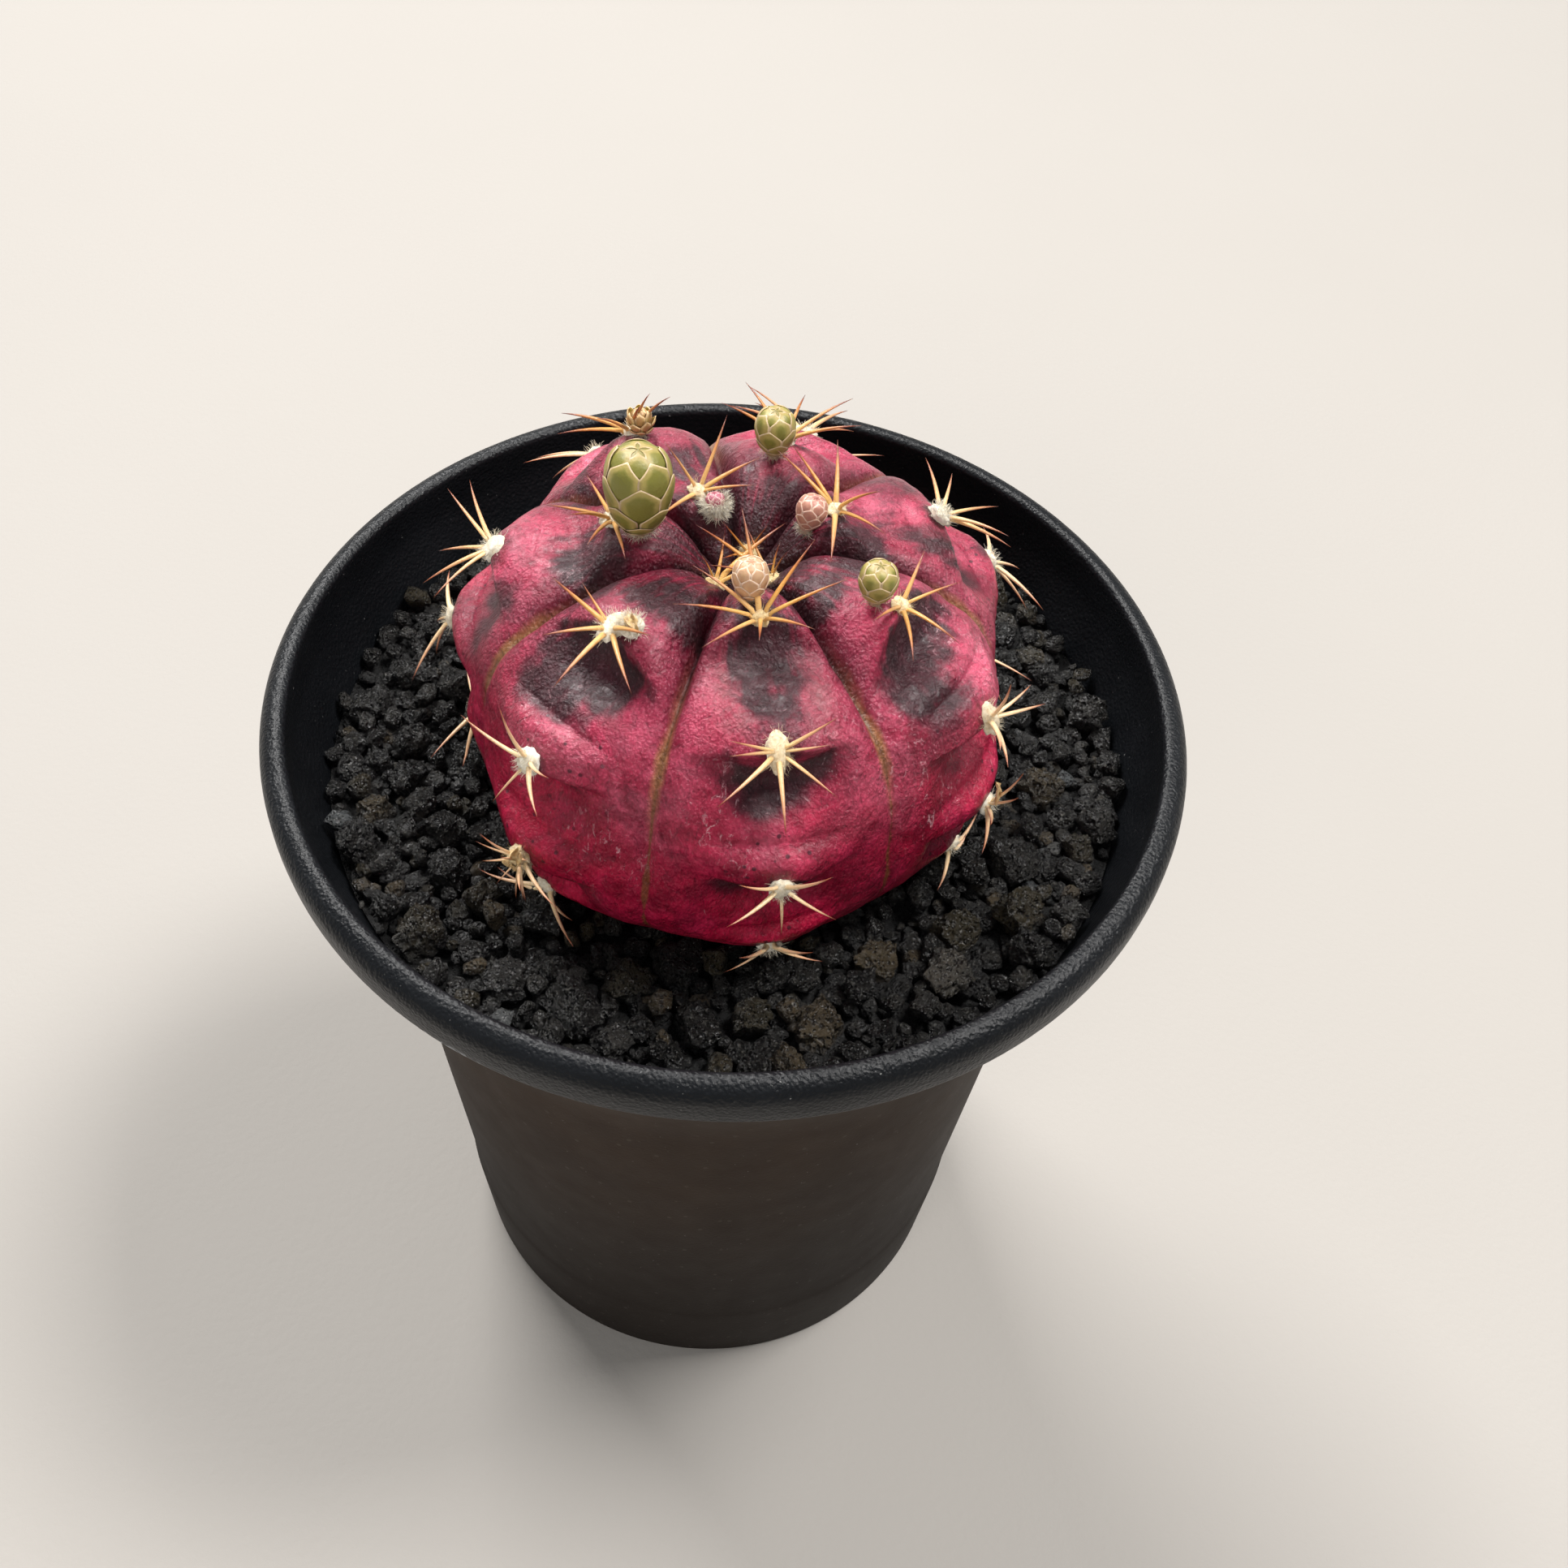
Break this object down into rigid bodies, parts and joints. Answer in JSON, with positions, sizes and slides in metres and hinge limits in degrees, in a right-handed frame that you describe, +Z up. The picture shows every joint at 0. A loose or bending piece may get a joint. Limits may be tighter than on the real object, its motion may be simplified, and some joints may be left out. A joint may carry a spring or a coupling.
{
  "type": "potted cactus",
  "caption": "Magenta and near-black variegated gymnocalycium with scaly flower buds, in a round black plastic pot topped with black lava grit",
  "frame": {"origin": "On the floor under the middle of the pot, at the centre of its foot ring", "axes": "+Z up through the pot and the plant, -Y to the front, the side the picture is taken from, +X to the viewer's right"},
  "size_m": [0.09, 0.09, 0.1248],
  "materials": {
    "pot_plastic": "satin black moulded plastic with a fine leathery grain and a few pale scuffs",
    "black_lava": "matte porous black lava grit",
    "cactus_skin": "fine-wrinkled magenta skin with near-black patches and a soft semi-gloss",
    "green_bud": "soft green scales with cream-pink margins",
    "pink_bud": "soft pinkish tan scales with pale margins",
    "woolly_bud": "pale wool over a pink bud",
    "dried_bud": "dry brown papery scales"
  },
  "bodies": {
    "root": {"pot": "pot_plastic", "lava_grit": "black_lava", "cactus_body": "cactus_skin", "bud_large_green": "green_bud", "bud_rear_green": "green_bud", "bud_right_green": "green_bud", "bud_front_tan": "pink_bud", "bud_pink": "pink_bud", "bud_woolly": "woolly_bud", "bud_dried_rear": "dried_bud"}
  },
  "joints": []
}
